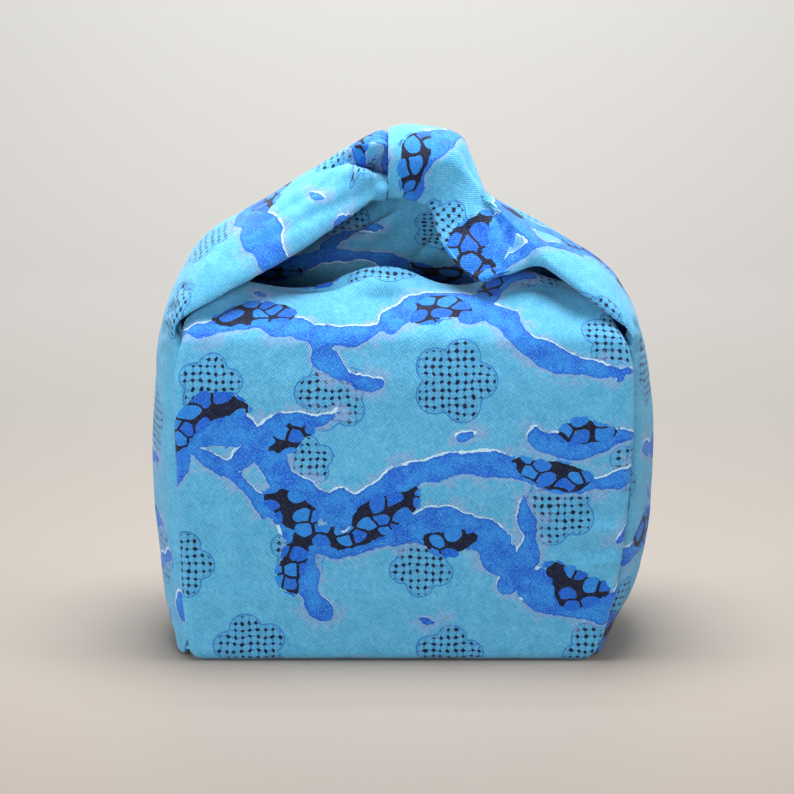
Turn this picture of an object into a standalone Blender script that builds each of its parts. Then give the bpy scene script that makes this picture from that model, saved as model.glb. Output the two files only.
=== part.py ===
"""A cloth lunch bag that closes with its own straps: the left strap runs into the loop of the right one.

Three pieces of cotton, as they are cut and sewn: one long strip that makes the front, the base and the
back, and two side pieces, each a gusset that goes on upwards as a strap. Front is -Y, up is +Z, and the
origin is on the surface that the bag stands on, under the middle of its outline. The tables are in
millimetres, and the scene is in metres.
"""

import math

import bmesh
import bpy
import numpy as np

MM = 0.001
CLOTH = 2.0  # thickness of each solid, with the lining of air that soft cotton holds
SEAM_GAP = 0.65  # between two pieces where they are sewn edge to edge
EDGE_RADIUS = 4.0  # of the fold that stands proud along each side seam

# The strip, seen from the side, as a path of straight runs with round corners. left and right are the
# distances from the middle to the two side edges, turn is how far the edge rolls inwards, allowance is the
# width of the strip past the roll, and bow is how far the cloth swells outwards between the edges.
STRIP = [
    # name, y, z, corner radius, left, right, turn in degrees, allowance, bow
    ("mouth lip", -12, 149, 0, 66, 54, 0, 4, 0),
    ("crest", -22, 163.5, 6, 72, 66, 0, 4, 1),
    ("slope", -36.5, 157, 20, 79, 79, 10, 4, 2),
    ("above the shoulder", -46.5, 149.5, 0, 89, 86.5, 25, 3, 2),
    ("front shoulder", -56, 141, 10, 93.4, 94.6, 110, 1, 1),
    ("front chest", -59, 122, 60, 97.5, 99, 165, 4, 1.5),
    ("front waist", -61, 75, 120, 97, 97.5, 165, 4, 3),
    ("front thigh", -60, 28, 40, 95.5, 92, 165, 4, 2),
    ("front ankle", -58.5, 12, 0, 94, 87.3, 150, 2.5, 1),
    ("front foot", -58, 0, 7, 91.5, 82.5, 95, 1, 0),
    ("base front", -48, 0, 0, 91, 81.5, 92, 2, 0),
    ("base front quarter", -27, 0, 0, 94.5, 83, 92, 3, 0),
    ("base middle", 0, 0, 0, 96, 84, 92, 3, 0),
    ("base back quarter", 27, 0, 0, 94.5, 83, 92, 3, 0),
    ("base back", 48, 0, 0, 91, 81.5, 92, 2, 0),
    ("back foot", 58, 0, 7, 91.5, 82.5, 95, 1, 0),
    ("back ankle", 58.5, 12, 0, 94, 87.3, 150, 2.5, 1),
    ("back thigh", 60, 28, 40, 95.5, 92, 165, 4, 2),
    ("back waist", 61, 75, 120, 97, 97.5, 165, 4, 3),
    ("back chest", 59, 122, 60, 97.5, 99, 165, 4, 1.5),
    ("back shoulder", 56, 141, 10, 93.4, 94.6, 110, 1, 1),
    ("behind the shoulder", 46.5, 149.5, 0, 89, 86.5, 25, 3, 2),
    ("back slope", 35, 160, 30, 76, 75, 10, 4, 2),
    ("back neck", 8, 198.5, 0, 24, 20, 0, 2, 0),
]

# Soft swellings of the strip, each a round hill, or a hollow where its height is negative.
SWELLINGS = [
    # name, x, place along the strip in rows of the table above, height, reach in x, reach in rows
    ("hill in the flap", -8, 1.2, 5.5, 27, 1.7),
    ("hollow left of it", -48, 1.1, -3.5, 26, 1.5),
    ("hollow right of it", 24, 1.1, -2.5, 22, 1.5),
]

# Each gusset from the surface up to the shoulder, where its two edges are sewn to the strip.
GUSSET = [
    # name, height, left ridge x, right ridge x
    ("hem", 1.0, -102.5, 88.5),
    ("toe", 5.5, -103.5, 92.5),
    ("foot", 13, -106.5, 97.5),
    ("knee", 34, -109.3, 108),
    ("belly", 85, -111, 111.2),
    ("chest", 113, -110.4, 110.2),
    ("shoulder", 132, -109.5, 107.8),
]

# Each strap from the shoulder to the knot. The ridge is its top line, at y = 0. The crease is its lower
# front line, the fold is where the cloth below the crease turns inwards, and the tail is the turned-in
# edge past it. The back edge mirrors the front one, and back says what share of the cloth below the
# crease hangs there too.
LEFT_STRAP = [
    # name, ridge x, z, crease x, y, z, fold x, y, z, tail y, z, back
    ("over the shoulder", -102, 158, -96.3, -50.8, 145.5, -94.8, -44.5, 149, 5, 4, 1),
    ("bend", -88, 180, -78, -49.5, 157.5, -75, -42, 161, 7, 3, 1),
    ("slope", -58, 199, -50, -42, 173, -48, -34, 175, 7, 3, 1),
    ("rise", -33, 214.2, -29, -32, 186.5, -28, -24, 188, 7, 3, 1),
    ("gather", -17, 223.5, -15, -22, 195.5, -15, -15, 197.5, 7, 3, 1),
    ("lip", -9.6, 226.8, -9, -15.5, 199, -9, -9, 201, 7, 1, 1),
    ("inside the loop", -5, 224.8, -4.5, -13, 202.5, -4.5, -7, 204.5, 6, 1, 1),
    ("end", 19, 221, 19, -12, 205, 19, -6, 207, 5, 1, 1),
]
RIGHT_STRAP = [
    ("over the shoulder", 101.5, 152, 97.2, -50.8, 141.5, 95.3, -44.5, 145, 5, 4, 1),
    ("bend", 89.5, 168, 79, -49.5, 157, 75.5, -42, 161, 7, 3, 1),
    ("slope", 73.5, 178.8, 62, -43.5, 171.5, 59, -38, 169, 6, 4, 1),
    ("lapel", 57, 188, 52.5, -37, 181, 44, -43, 164, 4, 6, 0.35),
    ("lapel tip", 44, 194.5, 43.5, -29.5, 191, 29.5, -42, 162, 4, 6, 0.25),
    ("twist", 36.5, 200.5, 35.5, -25, 199, 16.5, -31, 176, 5, 4, 0.4),
    ("loop edge", 31.6, 213, 28.5, -22.5, 206, 12, -19.5, 191, 7, 1, 0.8),
    ("loop", 26, 224.5, 20, -21.5, 212, 6, -18.5, 195, 7, 0, 1),
    ("loop top", 12, 228.4, 8, -21, 213.5, 1, -18.5, 196.5, 7, 0, 1),
    ("loop mouth", -6.3, 229.3, -6.3, -20.5, 214, -6.3, -18.5, 197, 7, 0, 1),
]
LOWEST_SEAM = 9.0  # the rows of the strip that the gussets are sewn to lie between these heights
HIGHEST_SEAM = 126.0
HEM_EDGE = {"left": (-95.4, -48.5), "right": (85.4, -49)}  # x and y of a gusset's front edge at the hem

FRONT_WALL = -45  # the strip's seams in front of this y are the front ones
HIDDEN_TURN = 0.6  # how far the end of a gusset's allowance turns inwards

STRIP_STEP = 13.0  # longest side of a facet along the strip
ROWS_PER_SECTION = 2
ARCH_STEPS = 6
SKIRT_STEPS = 3

COTTON_BLUE = (0.22, 0.56, 0.74, 1.0)
COTTON_ROUGHNESS = 0.85


def flow(stations, values, wanted):
    """Values at the wanted places on a smooth curve through the stations, with no overshoot of note."""
    stations = np.asarray(stations, float)
    values = np.asarray(values, float)
    wanted = np.asarray(wanted, float)
    slopes = np.gradient(values, stations, axis=0)
    k = np.clip(np.searchsorted(stations, wanted, side="right") - 1, 0, len(stations) - 2)
    width = stations[k + 1] - stations[k]
    t = (wanted - stations[k]) / width
    shape = (-1,) + (1,) * (values.ndim - 1)
    t = t.reshape(shape)
    width = width.reshape(shape)
    return (
        values[k] * (2 * t**3 - 3 * t**2 + 1)
        + slopes[k] * width * (t**3 - 2 * t**2 + t)
        + values[k + 1] * (3 * t**2 - 2 * t**3)
        + slopes[k + 1] * width * (t**3 - t**2)
    )


def rounded_path(corners, radii, longest):
    """A path through the corners, each rounded to its radius, with the station of each of its points.

    The station counts corners: it is 3.0 at the middle of the fourth corner's arc.
    """
    corners = np.asarray(corners, float)
    points = [corners[0]]
    stations = [0.0]
    for i in range(1, len(corners) - 1):
        before = corners[i - 1] - corners[i]
        after = corners[i + 1] - corners[i]
        reach = min(np.linalg.norm(before), np.linalg.norm(after))
        before = before / np.linalg.norm(before)
        after = after / np.linalg.norm(after)
        inside = math.acos(np.clip(np.dot(before, after), -1, 1))
        if radii[i] == 0:
            points.append(corners[i])
            stations.append(float(i))
            continue
        cut = min(radii[i] / math.tan(inside / 2), 0.45 * reach)
        radius = cut * math.tan(inside / 2)
        middle = before + after
        centre = corners[i] + middle / np.linalg.norm(middle) * radius / math.sin(inside / 2)
        steps = max(2, round(math.degrees(math.pi - inside) / 24))
        start = corners[i] + before * cut - centre
        end = corners[i] + after * cut - centre
        sweep = math.pi - inside
        for k in range(steps + 1):
            share = k / steps
            turned = (start * math.sin((1 - share) * sweep) + end * math.sin(share * sweep)) / math.sin(sweep)
            points.append(centre + turned)
            near = cut / np.linalg.norm(corners[i] - corners[i - 1])
            far = cut / np.linalg.norm(corners[i + 1] - corners[i])
            stations.append(i - near + (near + far) * share)
    points.append(corners[-1])
    stations.append(float(len(corners) - 1))
    filled = [points[0]]
    filled_stations = [stations[0]]
    for a, b, sa, sb in zip(points, points[1:], stations, stations[1:]):
        pieces = max(1, math.ceil(np.linalg.norm(b - a) / longest))
        for k in range(1, pieces + 1):
            filled.append(a + (b - a) * k / pieces)
            filled_stations.append(sa + (sb - sa) * k / pieces)
    return np.array(filled), np.array(filled_stations)


def strip_frame(longest):
    """The strip's path with, at each point, its inward direction, its station and its sizes."""
    path, stations = rounded_path([row[1:3] for row in STRIP], [row[3] for row in STRIP], longest)
    along = np.gradient(path, axis=0)
    along /= np.linalg.norm(along, axis=1, keepdims=True)
    inward = np.stack([-along[:, 1], along[:, 0]], axis=1)
    columns = np.array([row[4:9] for row in STRIP], float)
    sizes = flow(np.arange(len(STRIP)), columns, stations)
    for k in (2, 3):
        sizes[:, k] = np.interp(stations, range(len(STRIP)), columns[:, k])
    return path, inward, stations, sizes


def across(half, turn, allowance):
    """Distances out and in, from the middle of the strip to the end of its seam allowance on one side."""
    flat = half - EDGE_RADIUS
    out = [flat * share for share in (0.0, 0.12, 0.25, 0.4, 0.55, 0.7, 0.85, 1.0)]
    deep = [0.0] * len(out)
    for share in (0.3, 0.55, 0.8, 1.0):
        angle = math.radians(turn) * share
        out.append(flat + EDGE_RADIUS * math.sin(angle) + EDGE_RADIUS * (1 - turn / 165) * share)
        deep.append(EDGE_RADIUS * (1 - math.cos(angle)))
    angle = math.radians(turn)
    out.append(out[-1] + allowance * math.cos(angle))
    deep.append(deep[-1] + allowance * math.sin(angle))
    return np.array(out), np.array(deep)


def swelling(x, station):
    """How far the swellings raise the strip at x and at a station along it."""
    height = np.zeros_like(x)
    for _, middle, place, top, reach, rows in SWELLINGS:
        away = np.hypot((x - middle) / reach, (station - place) / rows)
        height += top * (1 + np.cos(math.pi * np.minimum(away, 1))) / 2
    return height


def strip_grid(longest):
    """The outer face of the strip as rows along it and columns across it."""
    path, inward, stations, sizes = strip_frame(longest)
    rows = []
    for centre, inner, station, size in zip(path, inward, stations, sizes):
        left, right, turn, allowance, bow = size
        row = []
        for side, half in ((-1, left), (1, right)):
            out, deep = across(half, turn, allowance)
            swell = bow * np.clip(1 - (out / half) ** 2, 0, 1)
            depth = deep - swell - swelling(side * out, station)
            points = np.stack(
                [side * out, centre[0] + inner[0] * depth, centre[1] + inner[1] * depth], axis=1
            )
            row.append(points[::-1] if side < 0 else points[1:])
        rows.append(np.concatenate(row))
    return np.array(rows)


def seam_rows(grid, side):
    """The seam point and the allowance's end of each row up the front wall, from the ankle to the chest."""
    seam, end = (1, 0) if side < 0 else (-2, -1)
    front = [row for row in grid if row[seam][1] < FRONT_WALL]
    sewn = [row for row in front if LOWEST_SEAM < row[len(row) // 2][2] < HIGHEST_SEAM]
    return [(row[seam], row[end]) for row in sewn][::-1]


def side_marks(side, strap, grid, per_section):
    """Ridge, crease, fold and tail, and the back's share, of each row of a side piece from its hem up."""
    seams = seam_rows(grid, side)
    heights = np.array([seam[2] for seam, _ in seams])
    edges = np.array([[*(seam + (0, SEAM_GAP, 0)), *(end + (0, SEAM_GAP, 0))] for seam, end in seams])
    marks = []
    for _, height, left_x, right_x in GUSSET:
        ridge = (left_x if side < 0 else right_x, 0, height)
        edge = np.array([np.interp(height, heights, edges[:, k]) for k in range(6)])
        if height < heights[0]:
            x, y = HEM_EDGE["left" if side < 0 else "right"]
            share = ((height - GUSSET[0][1]) / (heights[0] - GUSSET[0][1])) ** 2
            low = np.array([x, y, height, x - side * 0.4, y + 0.8, height])
            edge = low + (edge - low) * share
        edge[2] = edge[5] = height
        marks.append([*ridge, *edge, *(edge[3:] + (-side * HIDDEN_TURN, HIDDEN_TURN, 0)), 1.0])
    for _, rx, rz, cx, cy, cz, fx, fy, fz, ty, tz, back in strap:
        marks.append([rx, 0, rz, cx, cy, cz, fx, fy, fz, fx, fy + ty, fz + tz, back])
    marks = np.array(marks)
    gusset_heights = [row[1] for row in GUSSET]
    lower = np.interp(heights, gusset_heights, range(len(GUSSET)))
    last = len(marks) - 1
    upper = np.arange(len(GUSSET) - 1 + 1 / per_section, last + 1e-9, 1 / per_section)
    wanted = np.concatenate([[0, 1], lower, upper])
    rows = flow(np.arange(last + 1.0), marks, wanted)
    for row, edge in zip(rows[2:], edges):
        row[3:9] = edge
        row[9:12] = edge[3:] + (-side * HIDDEN_TURN, HIDDEN_TURN, 0)
    return rows


def side_grid(side, strap, grid, per_section):
    """The outer face of a side piece as rows up it and columns from its back edge to its front one."""
    rows = []
    for mark in side_marks(side, strap, grid, per_section):
        ridge, crease, fold, tail = mark[0:3], mark[3:6], mark[6:9], mark[9:12]
        centre = np.array([crease[0], 0, crease[2]])
        angles = np.linspace(0, math.pi / 2, ARCH_STEPS + 1)[:, None]
        arch = centre + (ridge - centre) * np.cos(angles) + (crease - centre) * np.sin(angles)
        shares = np.linspace(0, 1, SKIRT_STEPS + 1)[1:, None]
        front = np.concatenate([arch, crease + (fold - crease) * shares, [tail]])
        hang = mark[12]
        behind = crease + (fold - crease) * hang
        back = np.concatenate([arch, crease + (behind - crease) * shares, [behind + tail - fold]])
        back = back * (1, -1, 1)
        rows.append(np.concatenate([back[::-1], front[1:]]))
    return np.array(rows)


def cotton():
    """The bag's turquoise cotton."""
    material = bpy.data.materials.new("printed_cotton")
    material.use_nodes = True
    shader = material.node_tree.nodes["Principled BSDF"]
    shader.inputs["Base Color"].default_value = COTTON_BLUE
    shader.inputs["Roughness"].default_value = COTTON_ROUGHNESS
    return material


def cloth_object(name, grid, outward, material):
    """A sheet of cloth from the grid of its outer face, thickened inwards."""
    mesh = bmesh.new()
    points = [[mesh.verts.new(point * MM) for point in row] for row in grid]
    for lower, upper in zip(points, points[1:]):
        for a, b, c, d in zip(lower, lower[1:], upper[1:], upper):
            mesh.faces.new((a, b, c, d) if outward else (d, c, b, a))
    data = bpy.data.meshes.new(name)
    mesh.to_mesh(data)
    mesh.free()
    data.materials.append(material)
    data.shade_smooth()
    cloth = bpy.data.objects.new(name, data)
    bpy.context.scene.collection.objects.link(cloth)
    thicken = cloth.modifiers.new("thickness", "SOLIDIFY")
    thicken.thickness = CLOTH * MM
    thicken.offset = -1
    thicken.use_even_offset = False
    return cloth


def main():
    for thing in list(bpy.data.objects):
        bpy.data.objects.remove(thing)
    fabric = cotton()
    strip = strip_grid(STRIP_STEP)
    cloth_object("body_strip", strip, False, fabric)
    cloth_object("left_side", side_grid(-1, LEFT_STRAP, strip, ROWS_PER_SECTION), True, fabric)
    cloth_object("right_side", side_grid(1, RIGHT_STRAP, strip, ROWS_PER_SECTION), False, fabric)


main()
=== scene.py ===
"""A cotton lunch bag, closed with its own straps: its woven cloth, its creases and folds, and its print.

Front is -Y and up is +Z. The tables are in millimetres and degrees, and the scene is in metres.
"""

import math

import bpy
import numpy as np
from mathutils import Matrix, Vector, kdtree, noise


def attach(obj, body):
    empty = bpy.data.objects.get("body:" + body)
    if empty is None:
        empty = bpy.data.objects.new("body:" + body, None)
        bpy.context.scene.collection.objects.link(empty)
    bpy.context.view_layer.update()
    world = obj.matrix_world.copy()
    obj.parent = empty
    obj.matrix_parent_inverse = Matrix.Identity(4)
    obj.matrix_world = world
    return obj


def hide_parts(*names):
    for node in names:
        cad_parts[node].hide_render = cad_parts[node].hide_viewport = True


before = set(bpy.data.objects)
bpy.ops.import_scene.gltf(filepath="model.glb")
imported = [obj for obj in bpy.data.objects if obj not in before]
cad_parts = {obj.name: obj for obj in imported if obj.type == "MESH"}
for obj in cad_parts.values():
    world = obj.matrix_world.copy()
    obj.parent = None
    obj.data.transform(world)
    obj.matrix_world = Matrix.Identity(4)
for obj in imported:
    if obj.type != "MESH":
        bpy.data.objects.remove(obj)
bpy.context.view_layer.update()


# The body strip: one long piece of printed cotton that rolls in at the mouth, makes the front flap, the
# front, the base and the back, and rises to the knot. Its two long edges are turned in and sewn to the
# gussets, and stand proud of them as a soft roll.
MM = 0.001
CLOTH = 1.2  # thickness of the cotton
SEAM_GAP = 0.3  # between two pieces that are sewn edge to edge
EDGE_RADIUS = 4.0  # of the roll along each side seam
FULL_TURN = 165  # degrees that the edge turns where the roll is whole
LONGEST_CUT = 0.45  # share of a straight run that the rounding of a corner may take
ARC_STEP = 8  # degrees between the points of a rounded corner
FOLD_REACH = 3  # half widths past which a fold isn't felt
STRIP_STEP = 1.7  # size of a facet along the strip
FLAT_STEPS, ROLL_STEPS, ALLOWANCE_STEPS = 56, 8, 2  # facets from the middle of the strip to its edge

STRIP = [
    # name, y, z, corner radius, left, right, turn in degrees, allowance, bow
    ("mouth lip", -12, 149, 0, 66, 54, 0, 4, 0),
    ("crest", -22, 163.5, 6, 72, 66, 0, 4, 1),
    ("slope", -36.5, 157, 20, 79, 79, 10, 4, 2),
    ("above the shoulder", -46.5, 149.5, 0, 89, 86.5, 25, 3, 2),
    ("front shoulder", -56, 141, 10, 93.4, 94.6, 110, 1, 1),
    ("front chest", -59, 122, 60, 97.5, 99, 165, 4, 1.5),
    ("front waist", -61, 75, 120, 97, 97.5, 165, 4, 3),
    ("front thigh", -60, 28, 40, 95.5, 92, 165, 4, 2),
    ("front ankle", -58.5, 12, 0, 94, 87.3, 150, 2.5, 1),
    ("front foot", -58, 0, 7, 91.5, 82.5, 95, 1, 0),
    ("base front", -48, 0, 0, 91, 81.5, 92, 2, 0),
    ("base front quarter", -27, 0, 0, 94.5, 83, 92, 3, 0),
    ("base middle", 0, 0, 0, 96, 84, 92, 3, 0),
    ("base back quarter", 27, 0, 0, 94.5, 83, 92, 3, 0),
    ("base back", 48, 0, 0, 91, 81.5, 92, 2, 0),
    ("back foot", 58, 0, 7, 91.5, 82.5, 95, 1, 0),
    ("back ankle", 58.5, 12, 0, 94, 87.3, 150, 2.5, 1),
    ("back thigh", 60, 28, 40, 95.5, 92, 165, 4, 2),
    ("back waist", 61, 75, 120, 97, 97.5, 165, 4, 3),
    ("back chest", 59, 122, 60, 97.5, 99, 165, 4, 1.5),
    ("back shoulder", 56, 141, 10, 93.4, 94.6, 110, 1, 1),
    ("behind the shoulder", 46.5, 149.5, 0, 89, 86.5, 25, 3, 2),
    ("back slope", 35, 160, 30, 76, 75, 10, 4, 2),
    ("back neck", 8, 198.5, 0, 24, 20, 0, 2, 0),
]
SWELLINGS = [
    # name, x, place along the strip in rows of the table above, height, reach in x, reach in rows
    ("hill in the flap", -8, 1.2, 5.5, 27, 1.7),
    ("hollow left of it", -48, 1.1, -3.5, 26, 1.5),
    ("hollow right of it", 24, 1.1, -2.5, 22, 1.5),
    ("rise under the right strap", 50, 0.9, 5.0, 24, 1.2),
    ("dent under the crest", -30, 1.55, -3.4, 24, 0.42),
    ("dent above the hill", -6, 1.42, -3.2, 15, 0.36),
    ("small hill", -9, 1.95, 2.6, 15, 0.5),
]
# Soft ridges, and furrows where the height is negative, each along a line from one point to another.
STRIP_FOLDS = [
    # name, x, y, z at its start, x, y, z at its end, height, half width
    ("fold off the hill", -10, -24, 166, -40, -52, 146, 0.9, 6),
    ("furrow beside it", 8, -22, 164, 4, -50, 148, -0.8, 6),
    ("fold to the right shoulder", 34, -24, 163, 72, -52, 146, 0.9, 7),
    ("furrow at the left strap", -66, -30, 160, -82, -50, 147, -1.2, 5),
    ("furrow at the right strap", 60, -30, 160, 80, -50, 147, -1.0, 5),
    ("left sag of the panel", -78, -60, 128, -88, -60, 70, 0.7, 6),
    ("pull at the right edge", 96, -60, 62, 76, -62, 70, -1.0, 3),
    ("pull below it", 95, -60, 52, 72, -62, 50, -1.3, 3),
    ("pull at the corner", 94, -60, 42, 74, -62, 32, -1.1, 3),
    ("ridge between the pulls", 95, -60, 57, 76, -62, 60, 0.9, 3),
    ("lower ridge", 94, -60, 46, 74, -62, 41, 0.9, 3),
    ("ripple at the left edge", -97, -60, 96, -82, -62, 92, -0.6, 3),
    ("ripple lower down", -97, -60, 50, -80, -62, 54, -0.6, 3),
    ("fold in the back", -60, 62, 120, -30, 64, 60, 0.9, 8),
    ("second fold in the back", 52, 62, 126, 66, 64, 54, 0.9, 8),
    ("crease to the knot, left", -1, 13, 190, -32, 25, 172, 2.2, 1.5),
    ("pleat above it", -3, 11, 193, -36, 26, 176, -2.4, 3.0),
    ("pleat below it", -2, 17, 185, -30, 30, 165, -1.2, 3.5),
    ("crease to the knot, right", 15, 23, 178, 6, 32, 166, 1.8, 1.5),
    ("pleat beside it", 20, 24, 176, 12, 33, 163, -1.4, 3.0),
]


def flow(stations, values, wanted):
    """Values at the wanted places on a smooth curve through the stations."""
    stations = np.asarray(stations, float)
    values = np.asarray(values, float)
    wanted = np.asarray(wanted, float)
    slopes = np.gradient(values, stations, axis=0)
    k = np.clip(np.searchsorted(stations, wanted, side="right") - 1, 0, len(stations) - 2)
    width = stations[k + 1] - stations[k]
    shape = (-1,) + (1,) * (values.ndim - 1)
    t = ((wanted - stations[k]) / width).reshape(shape)
    width = width.reshape(shape)
    return (
        values[k] * (2 * t**3 - 3 * t**2 + 1)
        + slopes[k] * width * (t**3 - 2 * t**2 + t)
        + values[k + 1] * (3 * t**2 - 2 * t**3)
        + slopes[k + 1] * width * (t**3 - t**2)
    )


def rounded_path(corners, radii, longest):
    """A path through the corners, each rounded to its radius, and the station of each of its points.

    The station counts corners: it is 3.0 at the middle of the fourth corner's arc.
    """
    corners = np.asarray(corners, float)
    points, stations = [corners[0]], [0.0]
    for i in range(1, len(corners) - 1):
        before, after = corners[i - 1] - corners[i], corners[i + 1] - corners[i]
        lengths = np.linalg.norm(before), np.linalg.norm(after)
        before, after = before / lengths[0], after / lengths[1]
        if radii[i] == 0:
            points.append(corners[i])
            stations.append(float(i))
            continue
        inside = math.acos(np.clip(before @ after, -1, 1))
        cut = min(radii[i] / math.tan(inside / 2), LONGEST_CUT * min(lengths))
        middle = (before + after) / np.linalg.norm(before + after)
        centre = corners[i] + middle * cut / math.cos(inside / 2)
        sweep = math.pi - inside
        start, end = corners[i] + before * cut - centre, corners[i] + after * cut - centre
        near, far = cut / lengths[0], cut / lengths[1]
        for share in np.linspace(0, 1, max(3, math.ceil(sweep / math.radians(ARC_STEP))) + 1):
            turned = start * math.sin((1 - share) * sweep) + end * math.sin(share * sweep)
            points.append(centre + turned / math.sin(sweep))
            stations.append(i - near + (near + far) * share)
    points.append(corners[-1])
    stations.append(float(len(corners) - 1))
    points, stations = np.array(points), np.array(stations)
    lengths = np.concatenate([[0], np.cumsum(np.linalg.norm(np.diff(points, axis=0), axis=1))])
    even = np.linspace(0, lengths[-1], math.ceil(lengths[-1] / longest) + 1)
    path = np.stack([np.interp(even, lengths, points[:, k]) for k in range(2)], axis=1)
    return path, np.interp(even, lengths, stations)


def across(half, turn, allowance):
    """Distances out and in, from the middle of the strip to the end of its seam allowance on one side."""
    flat = half - EDGE_RADIUS
    roll = np.linspace(0, 1, ROLL_STEPS + 1)[1:]
    angles = math.radians(turn) * roll
    out = flat + EDGE_RADIUS * (np.sin(angles) + (1 - turn / FULL_TURN) * roll)
    deep = EDGE_RADIUS * (1 - np.cos(angles))
    past = np.linspace(0, allowance, ALLOWANCE_STEPS + 1)[1:]
    return (
        np.concatenate([np.linspace(0, flat, FLAT_STEPS + 1), out, out[-1] + past * math.cos(angles[-1])]),
        np.concatenate([np.zeros(FLAT_STEPS + 1), deep, deep[-1] + past * math.sin(angles[-1])]),
    )


def swelling(x, station):
    """How far the swellings raise the strip at x and at a station along it."""
    height = np.zeros_like(x)
    for _, middle, place, top, reach, rows in SWELLINGS:
        away = np.hypot((x - middle) / reach, (station - place) / rows)
        height += top * (1 + np.cos(math.pi * np.minimum(away, 1))) / 2
    return height


def strip_grid():
    """The outer face of the strip as rows along it and columns across it."""
    path, stations = rounded_path([row[1:3] for row in STRIP], [row[3] for row in STRIP], STRIP_STEP)
    along = np.gradient(path, axis=0)
    along /= np.linalg.norm(along, axis=1, keepdims=True)
    inward = np.stack([-along[:, 1], along[:, 0]], axis=1)
    columns = np.array([row[4:9] for row in STRIP], float)
    sizes = flow(np.arange(len(STRIP)), columns, stations)
    for k in (2, 3):
        sizes[:, k] = np.interp(stations, range(len(STRIP)), columns[:, k])
    rows = []
    for centre, inner, station, (left, right, turn, allowance, bow) in zip(path, inward, stations, sizes):
        halves = []
        for side, half in ((-1, left), (1, right)):
            out, deep = across(half, turn, allowance)
            depth = deep - bow * np.clip(1 - (out / half) ** 2, 0, 1) - swelling(side * out, station)
            y, z = centre[0] + inner[0] * depth, centre[1] + inner[1] * depth
            halves.append(np.stack([side * out, y, z], axis=1))
        rows.append(np.concatenate([halves[0][::-1], halves[1][1:]]))
    return np.array(rows)


def outward_normals(grid, outward):
    """Unit normals of a grid, on the side that outward, 1 or -1, says."""
    normals = np.cross(np.gradient(grid, axis=1), np.gradient(grid, axis=0)) * outward
    return normals / np.maximum(np.linalg.norm(normals, axis=2, keepdims=True), 1e-9)


def folded(grid, outward, folds):
    """The grid with its soft ridges and furrows raised. Each fold's line is first laid onto the cloth."""
    flat = grid.reshape(-1, 3)
    raised = np.zeros(len(flat))
    for _, *line, height, width in folds:
        start, end = np.array(line[:3], float), np.array(line[3:], float)
        shares = np.linspace(0, 1, math.ceil(np.linalg.norm(end - start)) + 2)
        wanted = [start + (end - start) * share for share in shares]
        line = np.array([flat[np.argmin(((flat - point) ** 2).sum(axis=1))] for point in wanted])
        reach = FOLD_REACH * width
        near = ((flat > line.min(axis=0) - reach) & (flat < line.max(axis=0) + reach)).all(axis=1)
        gaps = np.linalg.norm(flat[near][:, None] - line, axis=2)
        taper = 1 - abs(2 * shares[gaps.argmin(axis=1)] - 1) ** 3
        raised[near] += height * np.exp(-((gaps.min(axis=1) / width) ** 2)) * taper
    return grid + outward_normals(grid, outward) * raised.reshape(grid.shape[:2])[..., None]


def rumpled(grid, outward, waves):
    """The grid with the unevenness of washed cotton. Each wave is its length and height."""
    raised = np.zeros(grid.shape[:2])
    for k, (length, height) in enumerate(waves):
        shift = Vector((3.7 * k, 11.3, 5.1 * k))
        points = grid.reshape(-1, 3) / length
        heights = [height * noise.noise(Vector(point) + shift) for point in points]
        raised += np.reshape(heights, raised.shape)
    grid = grid + outward_normals(grid, outward) * raised[..., None]
    grid[..., 2] = np.maximum(grid[..., 2], 0)
    return grid


def flat_places(grid, middle):
    """Where each point of a grid lies on the flat cloth: across from the middle column, and along."""
    steps = np.linalg.norm(np.diff(grid, axis=1), axis=2)
    u = np.concatenate([np.zeros((len(grid), 1)), np.cumsum(steps, axis=1)], axis=1)
    u -= u[:, middle : middle + 1]
    rises = np.linalg.norm(np.diff(grid, axis=0), axis=2).mean(axis=1)
    v = np.concatenate([[0], np.cumsum(rises)])[:, None] + np.zeros_like(u)
    return u, v


# The print repeats over the cloth: streams with stony banks run between blossoms filled with a dotted net.
# Each stream is drawn like a stroke of a brush, from runs of (length, turn), and is widest in its middle.
REPEAT = (240.0, 220.0)
STREAMS = [
    # name, x, y, heading, half width, how thin it starts, runs
    ("long water", -122, 58, 20, 7.0, 0.9,
     [(34, 45), (26, -60), (30, -75), (26, 50), (30, 62), (28, -30), (34, -35), (34, 30), (26, 20)]),
    ("its rise", -70, 80, 60, 6.0, 0.8, [(16, -20), (20, -40), (14, 30)]),
    ("its fall", -18, 60, -50, 5.4, 0.8, [(14, 25), (20, 45), (12, -20)]),
    ("its far fall", 56, 92, -40, 5.6, 0.8, [(16, 40), (18, 25), (14, -40)]),
    ("low water", 124, 20, 168, 7.4, 0.9,
     [(30, 30), (32, -48), (30, -25), (32, 58), (34, 20), (28, -60), (30, -10), (26, 20)]),
    ("low water's rise", 46, 28, 50, 5.6, 0.8, [(14, 20), (18, 40), (12, -30)]),
    ("low water's fork", -34, 16, 140, 5.4, 0.8, [(16, -40), (18, -30), (12, 30)]),
    ("high water", -104, 140, -12, 6.6, 0.3,
     [(30, 30), (30, -45), (28, 40), (26, 40), (24, -70), (26, -40), (30, 40), (30, 20)]),
    ("high water's fall", -44, 142, -40, 5.4, 0.8, [(16, -25), (18, 40), (12, 20)]),
    ("high water's rise", 28, 146, 30, 5.4, 0.8, [(16, 40), (16, -30), (12, -40)]),
    ("flap water", -78, 186, -25, 6.0, 0.3, [(26, 40), (26, 25), (24, -60), (26, -20), (22, 50), (14, 20)]),
]
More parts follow.
